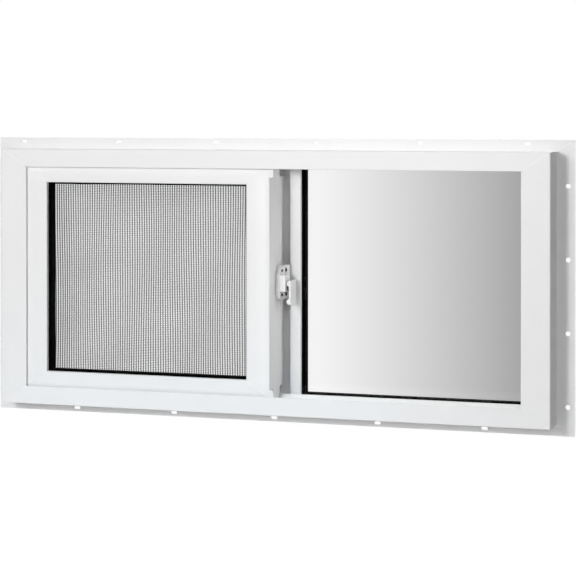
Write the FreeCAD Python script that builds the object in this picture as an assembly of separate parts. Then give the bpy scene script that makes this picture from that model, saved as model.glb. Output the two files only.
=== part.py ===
import FreeCAD, Part
import math
import os
from FreeCAD import Vector

# Horizontal sliding window of white vinyl with a nailing fin, seen from the room.
# X runs along the sill, Y from the room to the outdoors, Z up. Millimetres.
# The origin is on the fin's wall face, at the middle of the sill fin.

# Main frame
frame_width = 806.0
frame_height = 370.0
head_face = 25.8            # face of head and sill
jamb_face = 40.0            # face of the jambs
room_depth = 49.0           # from the fin's wall face to the room face
outdoor_depth = 34.0        # from the fin's wall face to the outdoor face
outdoor_drop = 2.0          # the outdoor lip ends short of the room lip by this
frame_wall = 1.8
channel_depth = 11.0        # depth of the sash and glazing channels
lip = 3.0                   # thickness of the channel lips
frame_round = 1.4           # outer edge of the room face
lip_round = 1.0

# Nailing fin
fin_reach = 16.0            # at head and sill
fin_thickness = 1.8
head_slot_left = 14.0       # from the frame's left side to the first slot
head_slot_right = 40.0      # from the last slot to the frame's right side
head_slot_count = 6
sill_slot_margin = 99.0     # from the frame's sides to the outer slots
sill_slot_count = 5
slot_length = 9.4
slot_width = 4.4
slot_offset = 10.6          # from the frame's outer face
side_hole_drop = 46.5       # from the top of the frame to the first hole
side_hole_rise = 23.5       # from the bottom of the frame to the last hole
side_hole_count = 4
side_hole_offset = 15.6     # from the jamb's outer face
side_hole_diameter = 6.6

# Sliding sash
sash_depth = 32.5
sash_front_gap = 1.0        # to the room lip
sash_back_gap = 1.5         # to the middle lip
sash_overlap = 8.0          # of the rails behind the room lip
rail_face = 30.0
stile_face = 43.4
meeting_face = 39.0
meeting_x = 12.6            # side face of the meeting stile
sash_crown = 21.0           # width of the crowned outer part of the face
sash_fall = 3.0             # how far the crown falls back at the outer edge
sash_wall = 2.0
sash_leg = 6.0              # glazing leg on the room side
leg_round = 0.8
sash_pocket = 12.0          # depth of the glazing pocket
bead_drop = 3.0             # the bead ends short of the leg by this

# Pull lip and interlock of the meeting stile
pull_reach = 15.0
pull_edge = 3.2
pull_foot = 6.0             # how much wider the lip is at its root
pull_hollow = 1.2           # how far its side towards the glass curves in
interlock_reach = 19.0
interlock_thickness = 2.6
interlock_gap = 5.5         # between the two interlock legs
hook_gap = 7.0              # from the sash to the fixed stile's hook
end_cut = 11.7              # lip and interlock end this far from head and sill edges

# Insulated glass
pane = 3.0
sash_cavity = 14.0
fixed_cavity = 13.0
edge_clearance = 2.0
sash_sight = 2.5            # spacer shows this far past the glazing leg
fixed_sight = 2.0           # the same past the fixed beads
stile_sight = 4.7           # the same past the fixed stile

# Fixed light
fixed_stile_left = -8.0
fixed_stile_right = 37.6
fixed_setback = 18.5        # from the sash's back to the raised part
fixed_nose = 15.2           # width of the raised part beside the glass
fixed_channel = 12.0        # the rest lies this much deeper
fixed_pocket = 11.5
fixed_bead_low = 5.0        # room edge of the sloped bead below the frame's edge
fixed_bead_high = 3.0       # glass edge of the bead below the frame's edge
fixed_bead_land = 3.0       # flat part of the bead at the glass
bead_wall = 1.5

# Insect screen
screen_bar = 20.0
screen_depth = 8.0
screen_fit = 0.3
screen_round = 1.2
mesh_thickness = 0.6

# Sash glides
glide_length = 40.0
glide_width = 12.0
glide_inset = 60.0
glide_taper = 1.0

# Latch
latch_drop = 0.9            # plate centre below the middle of the window
latch_height = 47.4
latch_width = 34.0
latch_front = 6.0           # thickness of the wedge-shaped plate at its room edge
latch_back = 11.0           # thickness at its outdoor edge
latch_front_round = 7.0     # lower room corner
latch_brow = 21.0           # run of the large curve at the upper room corner
latch_brow_drop = 11.0      # how far that curve falls
latch_back_round = 3.0
latch_setback = 4.1         # from the interlock's edge
housing_height = 23.7
housing_width = 23.0
housing_top = 13.6          # above the stile's side
housing_setback = 0.6       # from the plate's room edge
housing_drop = 0.7          # housing centre below the plate's centre
housing_round = 2.0
screw_diameter = 4.2
screw_slot = 4.0            # added height of the two outdoor slots
screw_floor = 3.5           # material left under the screw heads
screw_spread = 34.0
screw_front = 7.4           # from the plate's room edge
screw_back = 13.8           # from the plate's outdoor edge
post_diameter = 4.4
post_fit = 0.3
lever_width = 25.0
lever_length = 29.5         # from the pivot to the tip
lever_drop = 1.3            # pivot below the plate's centre
lever_thickness = 6.2
lever_arm = 2.8             # thickness between the lobes
lever_lobe = 8.0            # height of the lobes at pivot and tip
lever_cover = 1.4           # material over the blind pivot bore
lever_stile_gap = 5.0       # to the fixed stile

# Weep slots in the outdoor face of the sill
weep_length = 26.0
weep_height = 4.0
weep_inset = 120.0
weep_rise = 6.0

# Worked out from the driving dimensions
sill_z = fin_reach / 2
head_z = sill_z + frame_height
half_width = frame_width / 2
mid_z = sill_z + frame_height / 2
frame_rect = (-half_width, half_width, sill_z, head_z)
frame_faces = {"left": jamb_face, "right": jamb_face, "bottom": head_face, "top": head_face}
frame_stretch = {side: face / head_face for side, face in frame_faces.items()}
channel_floor = head_face - channel_depth

sash_front = -room_depth + lip + sash_front_gap
sash_back = sash_front + sash_depth
middle_lip = sash_back + sash_back_gap
glazing_front = middle_lip + lip
outdoor_lip = outdoor_depth - lip
outdoor_face = head_face - outdoor_drop
fixed_face = sash_back + fixed_setback
fixed_glass = outdoor_lip - 2 * pane - fixed_cavity

sash_rect = (
    -half_width + jamb_face - sash_overlap * frame_stretch["left"],
    meeting_x,
    sill_z + head_face - sash_overlap,
    head_z - head_face + sash_overlap,
)
sash_faces = {"left": stile_face, "right": meeting_face, "bottom": rail_face, "top": rail_face}
sash_stretch = {side: face / rail_face for side, face in sash_faces.items()}
sash_floor = rail_face - sash_pocket
sash_glass = sash_front + sash_leg
sash_glass_back = sash_glass + 2 * pane + sash_cavity


def rounded_wire(points, place, bulges=None):
    """Closed wire through (depth, inset, rounding) points, put in space by place.

    A square corner is rounded by an arc. Bulges give the point that the run after a corner passes as an arc.
    """
    bulges = bulges or {}
    count = len(points)
    starts, middles, ends = [], [], []
    for i in range(count):
        y, r, rounding = points[i]
        corner = Vector(y, r, 0)
        before = Vector(*points[i - 1][:2], 0)
        after = Vector(*points[(i + 1) % count][:2], 0)
        start = corner + (before - corner).normalize() * rounding
        end = corner + (after - corner).normalize() * rounding
        centre = start + end - corner
        starts.append(place(start))
        ends.append(place(end))
        middles.append(place(centre + (corner - centre).normalize() * rounding) if rounding else None)
    edges = []
    for i in range(count):
        if middles[i]:
            edges.append(Part.Arc(starts[i], middles[i], ends[i]).toShape())
        following = starts[(i + 1) % count]
        if i in bulges:
            edges.append(Part.Arc(ends[i], place(Vector(*bulges[i], 0)), following).toShape())
        else:
            edges.append(Part.makeLine(ends[i], following))
    return Part.Wire(edges)


def sharp(points):
    return [(y, r, 0.0) for y, r in points]


def inset(rect, stretch, distance):
    """Rectangle moved inwards by a distance that each side stretches by its own ratio."""
    left, right, bottom, top = rect
    return (
        left + distance * stretch["left"],
        right - distance * stretch["right"],
        bottom + distance * stretch["bottom"],
        top - distance * stretch["top"],
    )


def mitred_bar(side, rect, stretch, outline, chambers=(), square=(), bulges=None):
    """One bar of a mitred frame: a section of (depth, inset) carried along a side of rect.

    Sides named in square are cut straight at the rectangle, the others on the corner's mitre.
    """
    left, right, bottom, top = rect
    ratio = stretch[side]
    low = min(point[1] for point in outline)
    high = max(point[1] for point in outline)
    outer = inset(rect, stretch, low)
    inner = inset(rect, stretch, high)
    flat = side in ("top", "bottom")
    base = {"left": left, "right": right, "bottom": bottom, "top": top}[side]
    inward = 1.0 if side in ("left", "bottom") else -1.0
    ends = (("left", 0), ("right", 1)) if flat else (("bottom", 2), ("top", 3))
    outer_run = [rect[i] if end in square else outer[i] for end, i in ends]
    inner_run = [rect[i] if end in square else inner[i] for end, i in ends]
    start, span = outer_run[0], outer_run[1] - outer_run[0]

    def place(point):
        across = base + inward * ratio * point.y
        return Vector(start, point.x, across) if flat else Vector(across, point.x, start)

    face = Part.Face(rounded_wire(outline, place, bulges))
    for chamber in chambers:
        face = face.cut(Part.Face(rounded_wire(sharp(chamber), place)))
    bar = face.extrude(Vector(span, 0, 0) if flat else Vector(0, 0, span))

    outer_line = base + inward * ratio * low
    inner_line = base + inward * ratio * high
    depths = [point[0] for point in outline]
    y_low, y_high = min(depths), max(depths)
    corners = [
        (outer_run[0], outer_line),
        (outer_run[1], outer_line),
        (inner_run[1], inner_line),
        (inner_run[0], inner_line),
    ]
    plan = [Vector(a, y_low, b) if flat else Vector(b, y_low, a) for a, b in corners]
    trim = Part.Face(Part.makePolygon(plan + plan[:1])).extrude(Vector(0, y_high - y_low, 0))
    return bar.common(trim)


def block(x, y, z):
    """Box from three (low, high) pairs."""
    return Part.makeBox(x[1] - x[0], y[1] - y[0], z[1] - z[0], Vector(x[0], y[0], z[0]))


def slab(rect, y_low, y_high):
    left, right, bottom, top = rect
    return block((left, right), (y_low, y_high), (bottom, top))


def spread(first, last, count):
    """Evenly spaced places from first to last."""
    return [first + (last - first) * i / (count - 1) for i in range(count)]


def frame_members():
    """Head, sill and jambs: chambered extrusions with the fin, welded on the corner's mitre."""
    outline = [
        (-room_depth, 0.0, frame_round),
        (-room_depth, head_face, lip_round),
        (-room_depth + lip, head_face, lip_round),
        (-room_depth + lip, channel_floor, 0.0),
        (middle_lip, channel_floor, 0.0),
        (middle_lip, head_face, lip_round),
        (glazing_front, head_face, lip_round),
        (glazing_front, channel_floor, 0.0),
        (outdoor_lip, channel_floor, 0.0),
        (outdoor_lip, outdoor_face, lip_round),
        (outdoor_depth, outdoor_face, lip_round),
        (outdoor_depth, 0.0, 0.0),
        (fin_thickness, 0.0, 0.0),
        (fin_thickness, -fin_reach, 0.0),
        (0.0, -fin_reach, 0.0),
        (0.0, 0.0, 0.0),
    ]
    webs = (
        (-room_depth + lip + middle_lip) / 2,
        (middle_lip + glazing_front) / 2,
        (glazing_front + outdoor_lip) / 2,
    )
    bounds = [-room_depth + frame_wall]
    for web in webs:
        bounds += [web - frame_wall / 2, web + frame_wall / 2]
    bounds.append(outdoor_depth - frame_wall)
    low, high = frame_wall, channel_floor - frame_wall
    chambers = [
        [(a, low), (b, low), (b, high), (a, high)] for a, b in zip(bounds[0::2], bounds[1::2])
    ]
    members = {
        side: mitred_bar(side, frame_rect, frame_stretch, outline, chambers)
        for side in ("top", "bottom", "left", "right")
    }

    def slot(x, z):
        reach = (slot_length - slot_width) / 2
        middle = block((x - reach, x + reach), (0, fin_thickness), (z - slot_width / 2, z + slot_width / 2))
        rounds = [
            Part.makeCylinder(slot_width / 2, fin_thickness, Vector(x + s * reach, 0, z), Vector(0, 1, 0))
            for s in (-1, 1)
        ]
        return middle.fuse(rounds)

    for x in spread(-half_width + head_slot_left, half_width - head_slot_right, head_slot_count):
        members["top"] = members["top"].cut(slot(x, head_z + slot_offset))
    for x in spread(-half_width + sill_slot_margin, half_width - sill_slot_margin, sill_slot_count):
        members["bottom"] = members["bottom"].cut(slot(x, sill_z - slot_offset))
    for side, sign in (("left", -1), ("right", 1)):
        for z in spread(head_z - side_hole_drop, sill_z + side_hole_rise, side_hole_count):
            centre = Vector(sign * (half_width + side_hole_offset), 0, z)
            hole = Part.makeCylinder(side_hole_diameter / 2, fin_thickness, centre, Vector(0, 1, 0))
            members[side] = members[side].cut(hole)
    for sign in (-1, 1):
        x = sign * (half_width - weep_inset)
        weep = block(
            (x - weep_length / 2, x + weep_length / 2),
            (outdoor_depth - frame_wall, outdoor_depth),
            (sill_z + weep_rise, sill_z + weep_rise + weep_height),
        )
        members["bottom"] = members["bottom"].cut(weep)
    return members


def sash_members():
    """Rails and stiles of the sliding sash, mitred: a crowned face and a glazing leg on the room side."""
    crown_radius = (sash_crown**2 + sash_fall**2) / (2 * sash_fall)
    half_turn = math.asin(sash_crown / crown_radius) / 2
    crown_middle = (
        sash_front + crown_radius * (1 - math.cos(half_turn)),
        sash_crown - crown_radius * math.sin(half_turn),
    )
    outline = [
        (sash_front + sash_fall, 0.0, 0.0),
        (sash_front, sash_crown, 0.0),
        (sash_front, rail_face, leg_round),
        (sash_glass, rail_face, 0.0),
        (sash_glass, sash_floor, 0.0),
        (sash_back, sash_floor, 0.0),
        (sash_back, 0.0, 0.0),
    ]
    front = sash_front + sash_fall + sash_wall
    back = sash_back - sash_wall
    web = (front + back) / 2
    low, high = sash_wall, sash_floor - sash_wall
    chambers = [
        [(a, low), (b, low), (b, high), (a, high)]
        for a, b in ((front, web - sash_wall / 2), (web + sash_wall / 2, back))
    ]
    members = {
        side: mitred_bar(side, sash_rect, sash_stretch, outline, chambers, bulges={0: crown_middle})
        for side in ("top", "bottom", "left", "right")
    }
    z_low = sill_z + head_face + end_cut
    z_high = head_z - head_face - end_cut
    pull_front = sash_front - pull_reach
    pull_back = sash_front + sash_fall
    pull_tip = meeting_x - pull_edge
    pull_root = pull_tip - pull_foot
    pull_points = [
        Vector(pull_tip, pull_front, z_low),
        Vector(meeting_x, pull_front, z_low),
        Vector(meeting_x, pull_back, z_low),
        Vector(pull_root, pull_back, z_low),
    ]
    lines = [Part.makeLine(a, b) for a, b in zip(pull_points, pull_points[1:])]
    rise = pull_back - pull_front
    run = math.hypot(pull_foot, rise)
    hollow_middle = Vector(
        (pull_root + pull_tip) / 2 + pull_hollow * rise / run,
        (pull_back + pull_front) / 2 + pull_hollow * pull_foot / run,
        z_low,
    )
    hollow = Part.Arc(pull_points[-1], hollow_middle, pull_points[0]).toShape()
    pull = Part.Face(Part.Wire(lines + [hollow])).extrude(Vector(0, 0, z_high - z_low))
    leg = block(
        (meeting_x - interlock_thickness, meeting_x),
        (sash_back, sash_back + interlock_reach),
        (z_low, z_high),
    )
    members["right"] = members["right"].fuse([pull, leg]).removeSplitter()
    return members


def sash_beads():
    """Snap-in glazing beads on the outdoor side of the sash."""
    top = rail_face - bead_drop
    outline = [
        (sash_glass_back, sash_floor, 0.0),
        (sash_glass_back, top, 0.0),
        (sash_back, top, leg_round),
        (sash_back, sash_floor, 0.0),
    ]
    return {
        side: mitred_bar(side, sash_rect, sash_stretch, outline)
        for side in ("top", "bottom", "left", "right")
    }


def glass_unit(edge, sight, y_front, cavity):
    """Inner pane, edge spacer and outer pane of one sealed unit."""
    inner = slab(edge, y_front, y_front + pane)
    outer = slab(edge, y_front + pane + cavity, y_front + 2 * pane + cavity)
    spacer = slab(edge, y_front + pane, y_front + pane + cavity)
    spacer = spacer.cut(slab(sight, y_front + pane, y_front + pane + cavity))
    return {"inner_pane": inner, "spacer": spacer, "outer_pane": outer}


def fixed_stile():
    """Upright beside the fixed glass: a raised nose, a channel for the interlock and a hook."""
    pocket_x = fixed_stile_right - fixed_pocket
    nose_x = fixed_stile_right - fixed_nose
    channel_y = fixed_face + fixed_channel
    low, high = sill_z + channel_floor, head_z - channel_floor
    clear_low, clear_high = sill_z + head_face, head_z - head_face
    profile = [
        (fixed_stile_left, outdoor_depth),
        (fixed_stile_left, channel_y),
        (nose_x, channel_y),
        (nose_x, fixed_face),
        (fixed_stile_right, fixed_face),
        (fixed_stile_right, fixed_glass),
        (pocket_x, fixed_glass),
        (pocket_x, outdoor_lip),
        (fixed_stile_right, outdoor_lip),
        (fixed_stile_right, outdoor_depth),
    ]
    plan = [Vector(x, y, low) for x, y in profile]
    body = Part.Face(Part.makePolygon(plan + plan[:1])).extrude(Vector(0, 0, high - low))
    chamber = block(
        (fixed_stile_left + sash_wall, pocket_x - sash_wall),
        (channel_y + sash_wall, outdoor_lip - sash_wall),
        (low, high),
    )
    across, lip_y = (fixed_stile_left, fixed_stile_right), (outdoor_lip, outdoor_depth)
    cope_low, cope_high = sill_z + outdoor_face, head_z - outdoor_face
    copes = [block(across, lip_y, (low, cope_low)), block(across, lip_y, (cope_high, high))]
    hook_x = meeting_x - interlock_thickness - interlock_gap
    hook = block(
        (hook_x - interlock_thickness, hook_x),
        (sash_back + hook_gap, channel_y),
        (clear_low + end_cut, clear_high - end_cut),
    )
    return body.cut([chamber] + copes).fuse(hook).removeSplitter()


def fixed_beads():
    """Sloped hollow beads that hold the fixed glass at head, sill and right jamb."""
    low_edge, high_edge = head_face - fixed_bead_low, head_face - fixed_bead_high
    outline = [
        (glazing_front, channel_floor, 0.0),
        (glazing_front, low_edge, 0.0),
        (fixed_glass - fixed_bead_land, high_edge, 0.0),
        (fixed_glass, high_edge, 0.0),
        (fixed_glass, channel_floor, 0.0),
    ]
    chamber = [
        (glazing_front + bead_wall, channel_floor + bead_wall),
        (fixed_glass - bead_wall, channel_floor + bead_wall),
        (fixed_glass - bead_wall, low_edge - bead_wall),
        (glazing_front + bead_wall, low_edge - bead_wall),
    ]
    rect = (fixed_stile_right,) + frame_rect[1:]
    beads = {
        side: mitred_bar(side, rect, frame_stretch, outline, [chamber], square=("left",))
        for side in ("top", "bottom")
    }
    beads["right"] = mitred_bar("right", rect, frame_stretch, outline, [chamber])
    return beads


def screen():
    """Insect screen: four mitred bars against the outdoor lip and a mesh sheet between them."""
    back = outdoor_lip
    front = back - screen_depth
    even = {side: 1 for side in frame_stretch}
    floor_rect = inset(frame_rect, frame_stretch, channel_floor)
    rect = (
        floor_rect[0] + screen_fit,
        fixed_stile_left - screen_fit,
        floor_rect[2] + screen_fit,
        floor_rect[3] - screen_fit,
    )
    outline = [
        (front, 0.0, screen_round),
        (front, screen_bar, screen_round),
        (back, screen_bar, screen_round),
        (back, 0.0, screen_round),
    ]
    pieces = {
        side + "_bar": mitred_bar(side, rect, even, outline)
        for side in ("top", "bottom", "left", "right")
    }
    mesh_front = (front + back - mesh_thickness) / 2
    pieces["mesh"] = slab(inset(rect, even, screen_bar), mesh_front, mesh_front + mesh_thickness)
    return pieces


def glides():
    """Two pads under the sash that slide on the floor of the sill channel."""
    floor_z = sill_z + channel_floor
    under = sash_rect[2]
    middle_y = (sash_front + sash_back) / 2
    pieces = {}
    for side, x in (
        ("left", sash_rect[0] + glide_inset),
        ("right", sash_rect[1] - glide_inset),
    ):
        half = glide_length / 2
        plan = [
            Vector(x - half, middle_y - glide_width / 2, under),
            Vector(x - half + glide_taper, middle_y - glide_width / 2, floor_z),
            Vector(x + half - glide_taper, middle_y - glide_width / 2, floor_z),
            Vector(x + half, middle_y - glide_width / 2, under),
        ]
        pieces[side] = Part.Face(Part.makePolygon(plan + plan[:1])).extrude(Vector(0, glide_width, 0))
    return pieces


def latch():
    """Sweep latch on the meeting stile's side: wedge plate, housing and pivot post, with a turning lever."""
    back_y = sash_back + interlock_reach - latch_setback
    front_y = back_y - latch_width
    latch_z = mid_z - latch_drop
    housing_x = meeting_x + housing_top
    along = Vector(1, 0, 0)

    def on_side(x):
        return lambda point: Vector(x, point.x, point.y)

    z_low, z_high = latch_z - latch_height / 2, latch_z + latch_height / 2
    plate_outline = [
        (front_y, z_low, latch_front_round),
        (front_y, z_high - latch_brow_drop, 0.0),
        (front_y + latch_brow, z_high, 0.0),
        (back_y, z_high, latch_back_round),
        (back_y, z_low, latch_back_round),
    ]
    shoulder = 1 - math.sqrt(0.5)
    brow_middle = (front_y + latch_brow * shoulder, z_high - latch_brow_drop * shoulder)
    plate_wire = rounded_wire(plate_outline, on_side(meeting_x), {1: brow_middle})
    plate = Part.Face(plate_wire).extrude(along * latch_back)
    wedge_plan = [
        Vector(meeting_x, front_y, z_low),
        Vector(meeting_x + latch_front, front_y, z_low),
        Vector(meeting_x + latch_back, back_y, z_low),
        Vector(meeting_x, back_y, z_low),
    ]
    wedge = Part.Face(Part.makePolygon(wedge_plan + wedge_plan[:1])).extrude(Vector(0, 0, latch_height))
    housing_z = latch_z - housing_drop
    housing_y = front_y + housing_setback
    housing_outline = [
        (housing_y, housing_z - housing_height / 2, housing_round),
        (housing_y, housing_z + housing_height / 2, housing_round),
        (housing_y + housing_width, housing_z + housing_height / 2, housing_round),
        (housing_y + housing_width, housing_z - housing_height / 2, housing_round),
    ]
    housing = Part.Face(rounded_wire(housing_outline, on_side(meeting_x))).extrude(along * housing_top)
    hub_x = housing_x + post_fit
    lever_x = hub_x + lever_thickness
    arm_x = lever_x - lever_arm
    half_lobe = lever_lobe / 2
    pivot_y = fixed_face - lever_stile_gap - math.hypot(lever_width / 2, half_lobe)
    pivot_z = latch_z - lever_drop
    bore_depth = lever_thickness - lever_cover
    post = Part.makeCylinder(post_diameter / 2, bore_depth, Vector(housing_x, pivot_y, pivot_z), along)
    base = plate.common(wedge).fuse([housing, post]).removeSplitter()
    floor_x = meeting_x + screw_floor
    radius = screw_diameter / 2
    for dz in (-1, 1):
        z = latch_z + dz * screw_spread / 2
        head_seat = Part.makeCylinder(radius, latch_back, Vector(floor_x, front_y + screw_front, z), along)
        y = back_y - screw_back
        slot_ends = (z - screw_slot / 2, z + screw_slot / 2)
        slot = block((floor_x, floor_x + latch_back), (y - radius, y + radius), slot_ends)
        rounds = [Part.makeCylinder(radius, latch_back, Vector(floor_x, y, end), along) for end in slot_ends]
        base = base.cut([head_seat, slot] + rounds)

    tip_z = pivot_z - lever_length
    side_y = pivot_y - lever_width / 2
    outline = [
        Vector(arm_x, side_y, pivot_z + half_lobe),
        Vector(lever_x, side_y, pivot_z + half_lobe),
        Vector(lever_x, side_y, tip_z),
        Vector(arm_x, side_y, tip_z),
        Vector(arm_x, side_y, tip_z + lever_lobe),
        Vector(arm_x, side_y, pivot_z - half_lobe),
    ]
    edges = [Part.makeLine(outline[i], outline[i + 1]) for i in (0, 1, 2, 4)]
    edges.insert(3, Part.Arc(outline[3], Vector(hub_x, side_y, tip_z + half_lobe), outline[4]).toShape())
    edges.append(Part.Arc(outline[5], Vector(hub_x, side_y, pivot_z), outline[0]).toShape())
    lever = Part.Face(Part.Wire(edges)).extrude(Vector(0, lever_width, 0))
    bore = Part.makeCylinder(post_diameter / 2 + post_fit, bore_depth, Vector(hub_x, pivot_y, pivot_z), along)
    return {"base": base, "lever": lever.cut(bore)}


names = {"top": "head", "bottom": "sill", "left": "left_jamb", "right": "right_jamb"}
parts = {"frame_" + names[side]: shape for side, shape in frame_members().items()}
names = {"top": "top_rail", "bottom": "bottom_rail", "left": "left_stile", "right": "meeting_stile"}
parts.update({"sash_" + names[side]: shape for side, shape in sash_members().items()})
parts.update({"sash_bead_" + side: shape for side, shape in sash_beads().items()})
sash_edge = inset(sash_rect, sash_stretch, sash_floor + edge_clearance)
sash_clear = inset(sash_rect, sash_stretch, rail_face + sash_sight)
unit = glass_unit(sash_edge, sash_clear, sash_glass, sash_cavity)
parts.update({"sash_" + name: shape for name, shape in unit.items()})
parts["fixed_meeting_stile"] = fixed_stile()
parts.update({"fixed_bead_" + side: shape for side, shape in fixed_beads().items()})
fixed_edge = inset(frame_rect, frame_stretch, channel_floor + edge_clearance)
fixed_edge = (fixed_stile_right - fixed_pocket + edge_clearance,) + fixed_edge[1:]
fixed_clear = inset(frame_rect, frame_stretch, head_face - fixed_bead_high + fixed_sight)
fixed_clear = (fixed_stile_right + stile_sight,) + fixed_clear[1:]
unit = glass_unit(fixed_edge, fixed_clear, fixed_glass, fixed_cavity)
parts.update({"fixed_" + name: shape for name, shape in unit.items()})
parts.update({"screen_" + name: shape for name, shape in screen().items()})
parts.update({"sash_glide_" + side: shape for side, shape in glides().items()})
parts.update({"latch_" + name: shape for name, shape in latch().items()})

os.makedirs("parts", exist_ok=True)
for name, shape in parts.items():
    shape.exportStep("parts/" + name + ".step")
    print(name, len(shape.Solids), shape.isValid(), round(shape.Volume))
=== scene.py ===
import bpy
import math
import numpy as np
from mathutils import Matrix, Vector


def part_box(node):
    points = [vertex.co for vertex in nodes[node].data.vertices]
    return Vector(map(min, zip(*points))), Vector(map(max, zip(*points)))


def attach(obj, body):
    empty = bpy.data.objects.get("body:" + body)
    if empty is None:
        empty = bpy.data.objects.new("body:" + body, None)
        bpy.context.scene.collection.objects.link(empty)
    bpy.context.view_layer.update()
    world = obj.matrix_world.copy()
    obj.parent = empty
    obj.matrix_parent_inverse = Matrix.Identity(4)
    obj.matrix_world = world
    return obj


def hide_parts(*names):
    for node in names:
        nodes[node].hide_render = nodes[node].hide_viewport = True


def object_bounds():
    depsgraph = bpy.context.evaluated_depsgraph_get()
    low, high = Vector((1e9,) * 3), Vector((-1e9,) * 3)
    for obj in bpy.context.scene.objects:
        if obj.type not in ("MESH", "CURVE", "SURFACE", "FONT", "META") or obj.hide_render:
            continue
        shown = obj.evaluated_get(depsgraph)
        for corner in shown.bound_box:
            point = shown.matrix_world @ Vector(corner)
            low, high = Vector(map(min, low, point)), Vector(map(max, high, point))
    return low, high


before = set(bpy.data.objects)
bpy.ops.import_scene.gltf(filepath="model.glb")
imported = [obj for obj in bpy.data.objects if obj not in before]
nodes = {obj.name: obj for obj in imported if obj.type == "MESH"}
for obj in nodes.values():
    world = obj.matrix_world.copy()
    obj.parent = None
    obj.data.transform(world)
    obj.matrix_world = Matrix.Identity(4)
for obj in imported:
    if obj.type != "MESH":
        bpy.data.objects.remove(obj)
cadLow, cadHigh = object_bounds()
mm = 0.001
imageSide = 576
print("frame loaded,", len(nodes), "nodes")


def linearColour(code):
    # sRGB hex to the linear RGBA that a socket takes
    parts = [int(code[i:i + 2], 16) / 255 for i in (1, 3, 5)]
    return [c / 12.92 if c <= 0.04045 else ((c + 0.055) / 1.055) ** 2.4 for c in parts] + [1.0]


def addNode(tree, kind, inputs=None, **settings):
    # one node: settings are its own values, inputs are numbers, colours or the sockets that feed it
    node = tree.nodes.new("ShaderNode" + kind)
    for key, value in settings.items():
        setattr(node, key, value)
    for key, value in (inputs or {}).items():
        if isinstance(value, bpy.types.NodeSocket):
            tree.links.new(value, node.inputs[key])
        else:
            node.inputs[key].default_value = value
    return node


def startMaterial(name):
    # an empty material, its node tree and the Object coordinates in metres
    material = bpy.data.materials.new(name)
    material.use_nodes = True
    tree = material.node_tree
    tree.nodes.clear()
    return material, tree, addNode(tree, "TexCoord").outputs["Object"]


def meshPiece(name, points, faces, material, body, smooth=True):
    # a piece from arrays of points and quads, at the origin, riding on a body
    mesh = bpy.data.meshes.new(name)
    mesh.from_pydata(points.reshape(-1, 3).tolist(), [], faces.reshape(-1, 4).tolist())
    mesh.polygons.foreach_set("use_smooth", np.full(len(mesh.polygons), smooth))
    mesh.materials.append(material)
    piece = bpy.data.objects.new(name, mesh)
    bpy.context.scene.collection.objects.link(piece)
    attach(piece, body)
    return piece


def tubeFaces(count, steps, sides):
    # quads of many tubes laid out as (tube, step, side): the walls, and both ends closed by strips of quads
    index = np.arange(count * steps * sides).reshape(count, steps, sides)
    after = np.roll(index, -1, axis=2)
    walls = np.stack([index[:, :-1], after[:, :-1], after[:, 1:], index[:, 1:]], axis=-1)
    strip = np.arange(sides // 2 - 1)
    ends = np.stack([strip, strip + 1, sides - 2 - strip, sides - 1 - strip], axis=-1)
    first, last = index[:, 0][:, ends[:, ::-1]], index[:, -1][:, ends]
    return np.concatenate([part.reshape(-1, 4) for part in (walls, first, last)])


def beadTubes(paths, normals, widthMm, heightMm, sides, taper):
    # oval tubes along many paths: at each step an ellipse, wide across the surface and low along its normal
    run = paths[:, -1] - paths[:, 0]
    across = np.cross(normals, run / np.linalg.norm(run, axis=1)[:, None])
    turn = ((np.arange(sides) + 0.5) / sides * 2 * np.pi)[:, None]
    oval = (widthMm / 2 * np.cos(turn) * across[:, None] + heightMm * np.sin(turn) * normals[:, None]) * mm
    points = paths[:, :, None] + oval[:, None] * taper[None, :, None, None]
    return points, tubeFaces(*paths.shape[:2], sides)


vinyl = {
    "body": "#f2f2f2",
    "shade": "#eeeeee",
    "roughness": 0.4,
    "roughnessSpread": 0.05,
    "ior": 1.53,
    "dieLineMm": 1.5,       # spacing of the lines that the die draws along a bar
    "dieLineRunMm": 500,    # how far one such line runs
    "dieLineDepthMm": 0.01,
    "dieLineStrength": 0.4,
    "mottleMm": 60,         # size of the soft changes of tone
    # the weld colour is whiter than the body as a painted highlight along the seams
    "weld": "#fafafa",
    "weldRoughness": 0.25,
}


def extrudedVinyl(name, along):
    # Extruded white PVC: satin, nearly even, with very faint draw lines along each bar
    material, tree, place = startMaterial(name)
    across = 1 / (vinyl["dieLineMm"] * mm)
    run = 1 / (vinyl["dieLineRunMm"] * mm)
    scale = [run if axis == along else across for axis in "xyz"]
    lines = addNode(tree, "Mapping", {"Vector": place, "Scale": scale})
    drawn = addNode(tree, "TexNoise", {"Vector": lines.outputs[0], "Scale": 1.0, "Detail": 1.0})
    mottle = addNode(tree, "TexNoise", {
        "Vector": place, "Scale": 1 / (vinyl["mottleMm"] * mm), "Detail": 2.0})
    colour = addNode(tree, "Mix", {
        "Factor": mottle.outputs[0],
        "A": linearColour(vinyl["shade"]),
        "B": linearColour(vinyl["body"]),
    }, data_type="RGBA")
    gloss = addNode(tree, "MapRange", {
        "Value": drawn.outputs[0],
        "To Min": vinyl["roughness"] - vinyl["roughnessSpread"],
        "To Max": vinyl["roughness"] + vinyl["roughnessSpread"],
    })
    bump = addNode(tree, "Bump", {
        "Height": drawn.outputs[0],
        "Strength": vinyl["dieLineStrength"],
        "Distance": vinyl["dieLineDepthMm"] * mm,
    })
    shader = addNode(tree, "BsdfPrincipled", {
        "Base Color": colour.outputs["Result"],
        "Roughness": gloss.outputs[0],
        "IOR": vinyl["ior"],
        "Normal": bump.outputs[0],
    })
    addNode(tree, "OutputMaterial", {"Surface": shader.outputs[0]})
    return material


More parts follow.
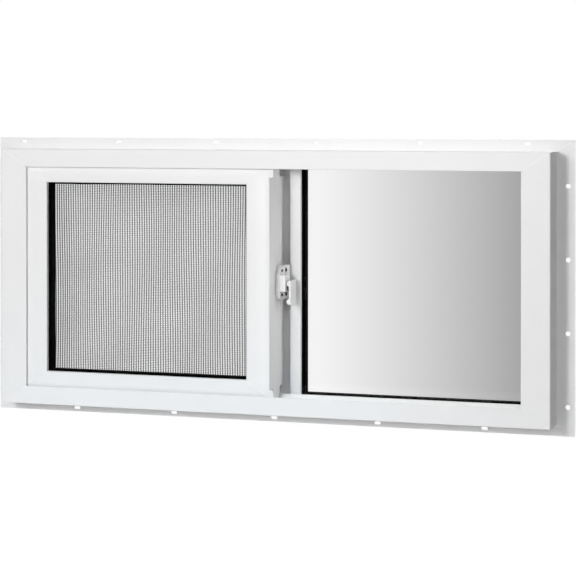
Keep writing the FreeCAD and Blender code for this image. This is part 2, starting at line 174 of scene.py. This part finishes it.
def weldedVinylHighlight():
    # Vinyl of the welds: smoother than the extrusion's skin, and whiter as a painted highlight along the
    # seams
    material, tree = startMaterial("weldedVinylHighlight")[:2]
    shader = addNode(tree, "BsdfPrincipled", {
        "Base Color": linearColour(vinyl["weld"]),
        "Roughness": vinyl["weldRoughness"],
        "IOR": vinyl["ior"],
    })
    addNode(tree, "OutputMaterial", {"Surface": shader.outputs[0]})
    return material


glass = {
    "tint": "#fefefe",
    "ior": 1.25,            # lower than real glass, so that the panes mirror almost nothing
    "rippleMm": 70,
    "rippleDepthMm": 0.002,
    "rippleStrength": 0.3,
}


def floatGlass():
    # Clear low-iron float glass: colourless, sharp gloss, a barely uneven surface; lamps shine through it
    material, tree, place = startMaterial("clearFloatGlass")
    ripple = addNode(tree, "TexNoise", {
        "Vector": place, "Scale": 1 / (glass["rippleMm"] * mm), "Detail": 0.0})
    bump = addNode(tree, "Bump", {
        "Height": ripple.outputs[0],
        "Strength": glass["rippleStrength"],
        "Distance": glass["rippleDepthMm"] * mm,
    })
    shader = addNode(tree, "BsdfPrincipled", {
        "Base Color": linearColour(glass["tint"]),
        "Roughness": 0.0,
        "IOR": glass["ior"],
        "Transmission Weight": 1.0,
        "Normal": bump.outputs[0],
    })
    clear = addNode(tree, "BsdfTransparent", {"Color": linearColour(glass["tint"])})
    rays = addNode(tree, "LightPath")
    surface = addNode(tree, "MixShader", {
        0: rays.outputs["Is Shadow Ray"], 1: shader.outputs[0], 2: clear.outputs[0]})
    addNode(tree, "OutputMaterial", {"Surface": surface.outputs[0]})
    return material


spacer = {
    "butyl": "#030303",
    "foam": "#0c0c0c",
    "butylShare": 0.36,     # of the spacer's depth, along each pane
    "gloss": 0.05,
    "grainMm": 0.7,
    "grainDepthMm": 0.05,
    "grainStrength": 0.3,
}


def spacerFoam(name, node):
    # Black silicone foam edge spacer: matt, fine grained, with darker butyl along both panes
    material, tree, place = startMaterial(name)
    low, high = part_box(node)
    depth = addNode(tree, "SeparateXYZ", {"Vector": place}).outputs["Y"]
    across = addNode(tree, "MapRange", {"Value": depth, "From Min": low.y, "From Max": high.y})
    band = addNode(tree, "ValToRGB", {"Fac": across.outputs[0]})
    band.color_ramp.interpolation = "CONSTANT"
    stops = band.color_ramp.elements
    stops[0].color = linearColour(spacer["butyl"])
    stops[1].position, stops[1].color = spacer["butylShare"], linearColour(spacer["foam"])
    stops.new(1 - spacer["butylShare"]).color = linearColour(spacer["butyl"])
    grain = addNode(tree, "TexNoise", {
        "Vector": place, "Scale": 1 / (spacer["grainMm"] * mm), "Detail": 2.0})
    bump = addNode(tree, "Bump", {
        "Height": grain.outputs[0],
        "Strength": spacer["grainStrength"],
        "Distance": spacer["grainDepthMm"] * mm,
    })
    shader = addNode(tree, "BsdfPrincipled", {
        "Base Color": band.outputs[0],
        "Roughness": 1.0,
        "Specular IOR Level": spacer["gloss"],
        "Normal": bump.outputs[0],
    })
    addNode(tree, "OutputMaterial", {"Surface": shader.outputs[0]})
    return material


paint = {
    "colour": "#eceeef",
    "thin": "#e6e8ea",
    "roughness": 0.3,
    "peelMm": 1.2,
    "peelDepthMm": 0.02,
    "peelStrength": 0.2,
}


def paintedAluminium():
    # Roll-formed aluminium with baked white paint: smoother and glossier than the vinyl, slight orange peel
    material, tree, place = startMaterial("paintedAluminium")
    peel = addNode(tree, "TexNoise", {"Vector": place, "Scale": 1 / (paint["peelMm"] * mm), "Detail": 1.0})
    colour = addNode(tree, "Mix", {
        "Factor": peel.outputs[0],
        "A": linearColour(paint["thin"]),
        "B": linearColour(paint["colour"]),
    }, data_type="RGBA")
    bump = addNode(tree, "Bump", {
        "Height": peel.outputs[0],
        "Strength": paint["peelStrength"],
        "Distance": paint["peelDepthMm"] * mm,
    })
    shader = addNode(tree, "BsdfPrincipled", {
        "Base Color": colour.outputs["Result"],
        "Roughness": paint["roughness"],
        "Normal": bump.outputs[0],
    })
    addNode(tree, "OutputMaterial", {"Surface": shader.outputs[0]})
    return material


coating = {
    "roughness": 0.55,
    "yarnBeadMm": 2.0,      # length of the uneven places along a yarn of the screen
    "splineBeadMm": 4.0,    # and along its spline
}


def screenYarn(name, light, dark, beadMm):
    # Vinyl-coated glass yarn: grey, satin, with the coating slightly uneven along the yarn
    material, tree, place = startMaterial(name)
    bead = addNode(tree, "TexNoise", {"Vector": place, "Scale": 1 / (beadMm * mm), "Detail": 1.0})
    colour = addNode(tree, "Mix", {
        "Factor": bead.outputs[0],
        "A": linearColour(dark),
        "B": linearColour(light),
    }, data_type="RGBA")
    shader = addNode(tree, "BsdfPrincipled", {
        "Base Color": colour.outputs["Result"], "Roughness": coating["roughness"]})
    addNode(tree, "OutputMaterial", {"Surface": shader.outputs[0]})
    return material


moulded = {
    "white": "#f4f4f4",
    "shade": "#eeeeef",
    "latchRoughness": 0.28,
    "glideRoughness": 0.5,
    "sparkMm": 0.35,
    "sparkDepthMm": 0.02,
    "sparkStrength": 0.15,
}


def mouldedNylon(name, roughness):
    # Injection-moulded white nylon: smooth and a little glossy, with a fine spark texture from the mould
    material, tree, place = startMaterial(name)
    spark = addNode(tree, "TexNoise", {
        "Vector": place, "Scale": 1 / (moulded["sparkMm"] * mm), "Detail": 1.0})
    colour = addNode(tree, "Mix", {
        "Factor": spark.outputs[0],
        "A": linearColour(moulded["shade"]),
        "B": linearColour(moulded["white"]),
    }, data_type="RGBA")
    bump = addNode(tree, "Bump", {
        "Height": spark.outputs[0],
        "Strength": moulded["sparkStrength"],
        "Distance": moulded["sparkDepthMm"] * mm,
    })
    shader = addNode(tree, "BsdfPrincipled", {
        "Base Color": colour.outputs["Result"], "Roughness": roughness, "Normal": bump.outputs[0]})
    addNode(tree, "OutputMaterial", {"Surface": shader.outputs[0]})
    return material


# nearly black steel: painted shade where the latch has shaded recesses and gaps
shadeSteel = {
    "shadeDark": "#161617",
    "worn": "#2b2b2d",
    "metallic": 0.8,
    "roughness": (0.4, 0.6),
    "grainMm": 0.4,
}


def shadeBlackSteel():
    # Pressed steel, nearly black as painted shade for shaded screw recesses and the gap under the lever:
    # satin, a little brighter where it is worn
    material, tree, place = startMaterial("shadeBlackSteel")
    grain = addNode(tree, "TexNoise", {
        "Vector": place, "Scale": 1 / (shadeSteel["grainMm"] * mm), "Detail": 2.0})
    colour = addNode(tree, "Mix", {
        "Factor": grain.outputs[0],
        "A": linearColour(shadeSteel["shadeDark"]),
        "B": linearColour(shadeSteel["worn"]),
    }, data_type="RGBA")
    smooth, rough = shadeSteel["roughness"]
    gloss = addNode(tree, "MapRange", {"Value": grain.outputs[0], "To Min": smooth, "To Max": rough})
    shader = addNode(tree, "BsdfPrincipled", {
        "Base Color": colour.outputs["Result"],
        "Metallic": shadeSteel["metallic"],
        "Roughness": gloss.outputs[0],
    })
    addNode(tree, "OutputMaterial", {"Surface": shader.outputs[0]})
    return material


def dressNodes():
    # a finish for every CAD node; bars that lie flat have their draw lines along x, uprights along z
    flatVinyl = extrudedVinyl("extrudedVinylFlat", "x")
    uprightVinyl = extrudedVinyl("extrudedVinylUpright", "z")
    pane = floatGlass()
    metal = paintedAluminium()
    latch = mouldedNylon("mouldedNylonGloss", moulded["latchRoughness"])
    glide = mouldedNylon("mouldedNylonMatt", moulded["glideRoughness"])
    for name, node in nodes.items():
        flat = any(word in name for word in ("head", "sill", "rail", "top", "bottom"))
        if "pane" in name:
            finish = pane
        elif "spacer" in name:
            finish = spacerFoam(name + "Foam", name)
        elif name.startswith("screen"):
            finish = metal
        elif name.startswith("latch"):
            finish = latch
        elif "glide" in name:
            finish = glide
        else:
            finish = flatVinyl if flat else uprightVinyl
        node.data.materials.clear()
        node.data.materials.append(finish)
    print("nodes dressed")


screen = {
    # coarser than a real 1.5 mm weave, so that single yarns show at this image size
    "warp": {"pitchMm": 3.72, "widthMm": 1.66, "thickMm": 0.5, "colours": ("#78797c", "#626366")},
    "weft": {"pitchMm": 2.5, "widthMm": 0.6, "thickMm": 0.34, "colours": ("#848588", "#6e6f72")},
    "waveMm": 0.2,              # how far a yarn swings over and under the others
    "wanderMm": 0.6,            # how far a yarn strays sideways
    "wanderRunMm": (520, 290),  # lengths of the two waves in which it strays
    "wanderYarns": (47, -29),   # number of yarns over which each wave repeats
    "stepsPerCrossing": 2,
    "sides": 4,
}


def wovenYarns(name, count, crossings, pitch, crossPitch, start, runStart, depth, upright):
    # Parallel yarns: each is a small flat tube whose centre swings in depth by a sine of the distance along
    # it, one half wave per crossing, neighbours the opposite way, and strays sideways by two long sine waves
    yarns = screen[name]
    steps = crossings * screen["stepsPerCrossing"] + 1
    yarn = np.arange(count)[:, None, None]
    along = np.linspace(0, crossings, steps)[None, :, None]
    turn = (np.arange(screen["sides"]) / screen["sides"] * 2 * np.pi)[None, None, :]
    run = runStart + along * crossPitch + 0 * yarn + 0 * turn
    stray = sum(np.sin(2 * np.pi * (along * crossPitch / (runMm * mm) + yarn / every))
                for runMm, every in zip(screen["wanderRunMm"], screen["wanderYarns"]))
    swing = screen["waveMm"] * mm * np.sin(np.pi * along) * (1 - 2 * (yarn % 2))
    side = start + yarn * pitch + screen["wanderMm"] * mm * stray + yarns["widthMm"] * mm / 2 * np.cos(turn)
    deep = depth + swing * (1 if upright else -1) + yarns["thickMm"] * mm / 2 * np.sin(turn)
    points = np.stack([side, deep, run] if upright else [run, deep, side], axis=-1)
    faces = tubeFaces(count, steps, screen["sides"])
    if not upright:
        faces = faces[:, ::-1]
    material = screenYarn(name + "Yarn", *yarns["colours"], coating["yarnBeadMm"])
    return meshPiece("screen_" + name, points, faces, material, "window")


def weaveScreen():
    # whole numbers of yarns each way across the mesh's box; warp and weft together stand for the mesh
    low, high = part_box("screen_mesh")
    depth = (low.y + high.y) / 2
    warpCount = int((high.x - low.x) / (screen["warp"]["pitchMm"] * mm))
    weftCount = int((high.z - low.z) / (screen["weft"]["pitchMm"] * mm))
    warpPitch = (high.x - low.x) / warpCount
    weftPitch = (high.z - low.z) / weftCount
    warp = wovenYarns("warp", warpCount, weftCount, warpPitch, weftPitch, low.x + warpPitch / 2,
                      low.z, depth, True)
    weft = wovenYarns("weft", weftCount, warpCount, weftPitch, warpPitch, low.z + weftPitch / 2,
                      low.x, depth, False)
    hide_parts("screen_mesh")
    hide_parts("screen_mesh")
    print("screen woven,", warpCount, "by", weftCount, "yarns")


spline = {
    "diameterMm": 2.4,
    "outMm": 1.7,           # its middle outside the mesh's edge
    "sides": 8,
    "colours": ("#4a4b4e", "#3c3d40"),
}


def pressSpline():
    # The vinyl cord that holds the mesh in its groove: four straight tubes on the bars' outdoor face
    low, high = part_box("screen_mesh")
    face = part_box("screen_top_bar")[1].y
    out = spline["outMm"] * mm
    left, right, bottom, top = low.x - out, high.x + out, low.z - out, high.z + out
    corners = np.array([(left, face, bottom), (right, face, bottom), (right, face, top), (left, face, top)])
    paths = np.stack([corners, np.roll(corners, -1, axis=0)], axis=1)
    points, faces = beadTubes(paths, np.tile((0.0, 1.0, 0.0), (4, 1)), spline["diameterMm"],
                              spline["diameterMm"] / 2, spline["sides"], np.ones(2))
    material = screenYarn("vinylSpline", *spline["colours"], coating["splineBeadMm"])
    meshPiece("screen_spline", points, faces, material, "window")
    print("spline pressed in")


welds = {
    "widthMm": 1.6,
    "heightMm": 0.35,
    "finMm": 16.0,          # width of the fin at the head and the sill
    "finThickMm": 1.8,
    "sashHiddenMm": 8.0,    # of the sash rails behind the frame's lip
    "crownMm": 21.0,        # the crowned part of the sash face
    "crownFallMm": 3.0,
    "endPower": 6,          # the higher, the more suddenly a seam tapers at its ends
    "endShare": 0.2,        # of its width at the very end
    "steps": 9,
    "sides": 8,
}


def frameMitres(share):
    # The frame's four corners: straight seams over the fin's two faces, the outer edge and the room face
    left, right, sill, head = [
        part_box("frame_" + name) for name in ("left_jamb", "right_jamb", "sill", "head")]
    finBack = np.array([0, welds["finThickMm"] * mm, 0])
    room = np.array([0, head[0].y, 0])
    seams = []
    for outerX, innerX in ((left[0].x, left[1].x), (right[1].x, right[0].x)):
        for outerZ, innerZ in ((sill[0].z, sill[1].z), (head[1].z, head[0].z)):
            tip, inner = np.array([outerX, 0, outerZ]), np.array([innerX, 0, innerZ])
            corner = tip + (inner - tip) * welds["finMm"] * mm / (head[1].z - head[0].z)
            tip = tip + (corner - tip) * welds["widthMm"] / welds["finMm"]
            outward = np.sign([outerX - innerX, 0, outerZ - innerZ]) / math.sqrt(2)
            for start, end, normal in (
                    (tip, corner, (0, -1, 0)), (tip + finBack, corner + finBack, (0, 1, 0)),
                    (corner, corner + room, outward), (corner + room, inner + room, (0, -1, 0))):
                seams.append((start + (end - start) * share[:, None], normal))
    return seams


def sashMitres(share):
    # The sash's four corners: seams that follow the crown, whose depth is the crown radius less the root of
    # its square minus the square of the distance from the crown's inner edge
    left, right, bottom, top = [
        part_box("sash_" + name) for name in ("left_stile", "meeting_stile", "bottom_rail", "top_rail")]
    rail = top[1].z - top[0].z
    inset = welds["sashHiddenMm"] * mm + (rail - welds["sashHiddenMm"] * mm) * share
    crown, fall = welds["crownMm"] * mm, welds["crownFallMm"] * mm
    radius = (crown ** 2 + fall ** 2) / (2 * fall)
    depth = left[0].y + radius - np.sqrt(radius ** 2 - np.maximum(crown - inset, 0) ** 2)
    seams = []
    for outerX, innerX in ((left[0].x, left[1].x), (right[1].x, right[0].x)):
        for outerZ, innerZ in ((bottom[0].z, bottom[1].z), (top[1].z, top[0].z)):
            x = outerX + (innerX - outerX) * inset / rail
            z = outerZ + (innerZ - outerZ) * inset / rail
            seams.append((np.stack([x, depth, z], axis=-1), (0, -1, 0)))
    return seams


def weldSeams():
    # What the corner welder leaves along each mitre: low oval beads, narrowed at both ends by the root of one
    # less a high power of the distance from the middle
    share = np.linspace(0, 1, welds["steps"])
    paths, normals = zip(*frameMitres(share), *sashMitres(share))
    taper = np.maximum(np.sqrt(1 - (2 * share - 1) ** welds["endPower"]), welds["endShare"])
    points, faces = beadTubes(np.array(paths), np.array(normals, dtype=float), welds["widthMm"],
                              welds["heightMm"], welds["sides"], taper)
    # the seams' whiter vinyl is a painted highlight
    meshPiece("weld_seams", points, faces, weldedVinylHighlight(), "window")
    print("corners welded,", len(paths), "seams")


screws = {
    "headMm": (3.8, 5.4),       # heads at the room edge, and the wider ones over the outdoor slots
    "proudMm": 0.9,             # of the plate's face
    "rimMm": 0.4,               # height over which a head rounds off
    "flatShare": 0.8,           # of a head's width that is flat on top
    "seatMm": 3.5,              # thickness of plate left under the heads
    "plateMm": (6.0, 11.0),     # thickness of the wedge-shaped plate at its room and outdoor edges
    "plateWideMm": 34.0,
    "fromRoomMm": (7.4, 20.2),  # from the plate's room edge
    "spreadMm": 34.0,
    "crossMm": (2.6, 0.8),      # length and width of the cross recess
    "crossDepthMm": 0.9,
    "sides": 32,
}


def latchScrews(steel):
    # Pan heads, black as painted shade for their shaded recesses: rings of one polar grid rise up the head's
    # side, close in over its top to the outline of a cross and go down into it. The cross is, at each angle,
    # the nearer of an arm's side and an arm's end
    low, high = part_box("latch_base")
    turn = (np.arange(screws["sides"]) + 0.5) / screws["sides"] * 2 * np.pi
    across, up = np.cos(turn), np.sin(turn)
    small, large = np.minimum(abs(across), abs(up)), np.maximum(abs(across), abs(up))
    cross = np.minimum(screws["crossMm"][1] / 2 / small, screws["crossMm"][0] / 2 / large)
    heads = []
    for fromRoom, headMm in zip(screws["fromRoomMm"], screws["headMm"]):
        rise = (screws["plateMm"][1] - screws["plateMm"][0]) * fromRoom / screws["plateWideMm"]
        under = screws["plateMm"][0] + rise
        top = under + screws["proudMm"]
        edge = np.full_like(turn, headMm / 2)
        shank = np.full_like(turn, screws["headMm"][0] / 2)
        radius = np.stack([shank, shank, edge, edge, edge * screws["flatShare"], cross, cross]) * mm
        rim, floor = top - screws["rimMm"], top - screws["crossDepthMm"]
        height = np.array([screws["seatMm"], under, under, rim, top, top, floor]) * mm
        y = low.y + fromRoom * mm
        for sign in (-1, 1):
            z = (low.z + high.z) / 2 + sign * screws["spreadMm"] * mm / 2
            heads.append(np.stack([
                low.x + height[:, None] + 0 * radius, y + radius * across, z + radius * up], axis=-1))
    points = np.array(heads)
    faces = tubeFaces(*points.shape[:3])
    meshPiece("latch_screws", points, faces, steel, "window", smooth=False)
    print("latch screwed on,", len(heads), "screws")


# a black disc that paints the shadow in the gap between the latch's lever and its housing
shadowDisc = {
    "fromRoomMm": 15.7,     # its middle, from the room edge of the latch's plate
    "aboveFootMm": 17.3,    # and from the plate's lower end
    "radiusMm": 5.9,
    "thickMm": 0.24,
    "clearMm": 0.04,        # between it and the lever
    "sides": 48,
}


def latchShadowDisc(steel):
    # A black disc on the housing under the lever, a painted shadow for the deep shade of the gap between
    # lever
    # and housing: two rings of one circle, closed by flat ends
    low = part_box("latch_base")[0]
    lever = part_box("latch_lever")[0]
    turn = np.arange(shadowDisc["sides"]) / shadowDisc["sides"] * 2 * np.pi
    under = np.array([shadowDisc["thickMm"], 0])[:, None]
    x = lever.x - (shadowDisc["clearMm"] + under) * mm
    y = low.y + (shadowDisc["fromRoomMm"] + shadowDisc["radiusMm"] * np.cos(turn)) * mm
    z = low.z + (shadowDisc["aboveFootMm"] + shadowDisc["radiusMm"] * np.sin(turn)) * mm
    points = np.stack(np.broadcast_arrays(x, y, z), axis=-1)[None]
    faces = tubeFaces(*points.shape[:3])
    meshPiece("latch_shadow_disc", points, faces, steel, "window", smooth=False)
    print("wear plate laid")


camera = {
    "placeMm": (831.1, -2557.7, 432.7),
    "turnDeg": 17.577,      # to the left of straight through the window
    "tiltDeg": -0.502,
    "lensMm": 118.406,
    "sensorMm": 36.0,
    "shiftPx": -160,        # the photograph is framed below the camera's level
}


def setCamera():
    data = bpy.data.cameras.new("camera")
    data.lens = camera["lensMm"]
    data.sensor_width = camera["sensorMm"]
    data.shift_y = camera["shiftPx"] / imageSide
    eye = bpy.data.objects.new("camera", data)
    eye.location = [v * mm for v in camera["placeMm"]]
    eye.rotation_euler = (math.radians(90 + camera["tiltDeg"]), 0, math.radians(camera["turnDeg"]))
    bpy.context.scene.collection.objects.link(eye)
    bpy.context.scene.camera = eye
    print("camera set")


studio = {
    "floorDropMm": 600,     # the window hangs on its wall fin, clear of the floor
    "floorMm": 5000,
    "floorColour": "#f2f2f2",
    "floorGlow": 0.9,       # brings the lit floor to white; its shadows still show
    "roomAmbient": 0.0,
    "backAmbient": 0.125,
    "roomGloss": 0.03,      # what glass and gloss mirror of the unlit room side
    "backGloss": 1.0,
    "sideBlend": 0.15,      # softness of the change from the room side to the backdrop
    "bandDeg": -9.56,       # compass direction of the soft grey band behind the window
    "bandHalfDeg": 7.02,
    "bandDark": 0.323,
    "bandLight": 0.96,
}
lamps = {
    # A narrow soft box to the left draws the shadows, and large weak panels fill them from all round. A
    # bluish gridded box lights the sill, a gridded strip behind the fixed pane lights the meeting stile's
    # side, and one panel lights the outdoor side. A lamp that isn't mirrored shows in no gloss or glass
    "keyLamp": {"placeMm": (-290, -2100, 610), "sizeMm": (300, 500), "watts": 11.5},
    "leftPanel": {"placeMm": (-900, -2300, 1500), "sizeMm": (1200, 1200), "watts": 12.5},
    "rightPanel": {"placeMm": (1200, -2450, 1200), "sizeMm": (1200, 1200), "watts": 15.6},
    "topPanel": {"placeMm": (300, 190, 1700), "sizeMm": (1300, 500), "watts": 8.7},
    "roomPanel": {"placeMm": (-560, -2500, 800), "sizeMm": (900, 700), "watts": 14.3, "mirrored": False},
    "sillBox": {
        "placeMm": (-150, -1700, 520), "sizeMm": (700, 200), "watts": 0.085, "mirrored": False,
        "aimMm": (-100, -49, -90), "spreadDeg": 18, "colour": "#94d8ff"},
    "backStrip": {
        "placeMm": (330, 120, 190), "sizeMm": (60, 340), "watts": 0.13, "mirrored": False,
        "aimMm": (12, -20, 190), "spreadDeg": 90},
    "outdoorPanel": {"placeMm": (-300, 2300, 350), "sizeMm": (1500, 1000), "watts": 15.0, "mirrored": False},
}


def seenRays(tree):
    # 1 for rays that show the surface itself: from the camera, by gloss or through glass
    rays = addNode(tree, "LightPath")
    seen = addNode(tree, "Math", {
        0: rays.outputs["Is Camera Ray"], 1: rays.outputs["Is Glossy Ray"]}, operation="MAXIMUM")
    return addNode(tree, "Math", {
        0: seen.outputs[0], 1: rays.outputs["Is Transmission Ray"]}, operation="MAXIMUM").outputs[0]


def lightWorld():
    # Weak ambient light from the backdrop. The backdrop is white, with a soft grey band behind glass. The dim
    # room side shows only in gloss: a ray that has gone straight through glass meets white all round
    world = bpy.data.worlds.new("studio")
    bpy.context.scene.world = world
    world.use_nodes = True
    tree = world.node_tree
    tree.nodes.clear()
    direction = addNode(tree, "SeparateXYZ", {"Vector": addNode(tree, "TexCoord").outputs["Generated"]})
    compass = addNode(tree, "Math", {
        0: direction.outputs["X"], 1: direction.outputs["Y"]}, operation="ARCTAN2")
    fromBand = addNode(tree, "Math", {
        0: compass.outputs[0], 1: math.radians(studio["bandDeg"])}, operation="SUBTRACT")
    offBand = addNode(tree, "Math", {0: fromBand.outputs[0]}, operation="ABSOLUTE")
    band = addNode(tree, "MapRange", {
        "Value": offBand.outputs[0],
        "From Max": math.radians(studio["bandHalfDeg"]),
        "To Min": studio["bandDark"],
        "To Max": studio["bandLight"],
    })
    ambientLevel, mirroredLevel = [addNode(tree, "MapRange", {
        "Value": direction.outputs["Y"],
        "From Min": -studio["sideBlend"],
        "From Max": studio["sideBlend"],
        "To Min": studio[roomSide],
        "To Max": studio[backSide],
    }).outputs[0] for roomSide, backSide in (("roomAmbient", "backAmbient"), ("roomGloss", "backGloss"))]
    rays = addNode(tree, "LightPath")
    otherBounces = addNode(tree, "Math", {
        0: rays.outputs["Glossy Depth"], 1: rays.outputs["Diffuse Depth"]}, operation="ADD")
    straight = addNode(tree, "Math", {0: otherBounces.outputs[0], 1: 1}, operation="LESS_THAN")
    clearLevel = addNode(tree, "Math", {0: straight.outputs[0], 1: mirroredLevel}, operation="MAXIMUM")
    throughLevel = addNode(tree, "Math", {
        0: band.outputs[0], 1: clearLevel.outputs[0]}, operation="MULTIPLY").outputs[0]
    ambient, white, mirrored, through = [
        addNode(tree, "Background", {"Color": linearColour("#ffffff"), "Strength": level})
        for level in (ambientLevel, 1.0, mirroredLevel, throughLevel)]
    surface = ambient
    for rayKind, background in (
            ("Is Camera Ray", white), ("Is Glossy Ray", mirrored), ("Is Transmission Ray", through)):
        surface = addNode(tree, "MixShader", {
            0: rays.outputs[rayKind], 1: surface.outputs[0], 2: background.outputs[0]})
    addNode(tree, "OutputWorld", {"Surface": surface.outputs[0]})


def layFloor():
    # a pale matt floor that glows a little to what looks at it
    material, tree = startMaterial("paleFloor")[:2]
    matt = addNode(tree, "BsdfDiffuse", {"Color": linearColour(studio["floorColour"])})
    glow = addNode(tree, "Emission", {"Strength": studio["floorGlow"]})
    lit = addNode(tree, "AddShader", {0: matt.outputs[0], 1: glow.outputs[0]})
    surface = addNode(tree, "MixShader", {0: seenRays(tree), 1: matt.outputs[0], 2: lit.outputs[0]})
    addNode(tree, "OutputMaterial", {"Surface": surface.outputs[0]})
    half = studio["floorMm"] * mm / 2
    level = cadLow.z - studio["floorDropMm"] * mm
    mesh = bpy.data.meshes.new("floor")
    mesh.from_pydata([(-half, -half, level), (half, -half, level), (half, half, level), (-half, half, level)],
                     [], [(0, 1, 2, 3)])
    mesh.materials.append(material)
    floor = bpy.data.objects.new("floor", mesh)
    bpy.context.scene.collection.objects.link(floor)


def setStudio():
    bpy.context.scene.view_settings.view_transform = "Standard"
    lightWorld()
    layFloor()
    middle = (cadLow + cadHigh) / 2
    for name, lamp in lamps.items():
        data = bpy.data.lights.new(name, "AREA")
        data.shape = "RECTANGLE"
        data.energy = lamp["watts"]
        data.color = linearColour(lamp.get("colour", "#ffffff"))[:3]
        data.spread = math.radians(lamp.get("spreadDeg", 180))
        data.size, data.size_y = [v * mm for v in lamp["sizeMm"]]
        light = bpy.data.objects.new(name, data)
        light.location = [v * mm for v in lamp["placeMm"]]
        light.visible_camera = light.visible_glossy = light.visible_transmission = lamp.get("mirrored", True)
        aim = Vector([v * mm for v in lamp["aimMm"]]) if "aimMm" in lamp else middle
        light.rotation_euler = (aim - light.location).to_track_quat("-Z", "Y").to_euler()
        bpy.context.scene.collection.objects.link(light)
    print("studio lit")


dressNodes()
weaveScreen()
pressSpline()
weldSeams()
# black steel for the screws and the disc under the lever, as painted shade
shadeSteelMaterial = shadeBlackSteel()
latchScrews(shadeSteelMaterial)
latchShadowDisc(shadeSteelMaterial)
setCamera()
setStudio()
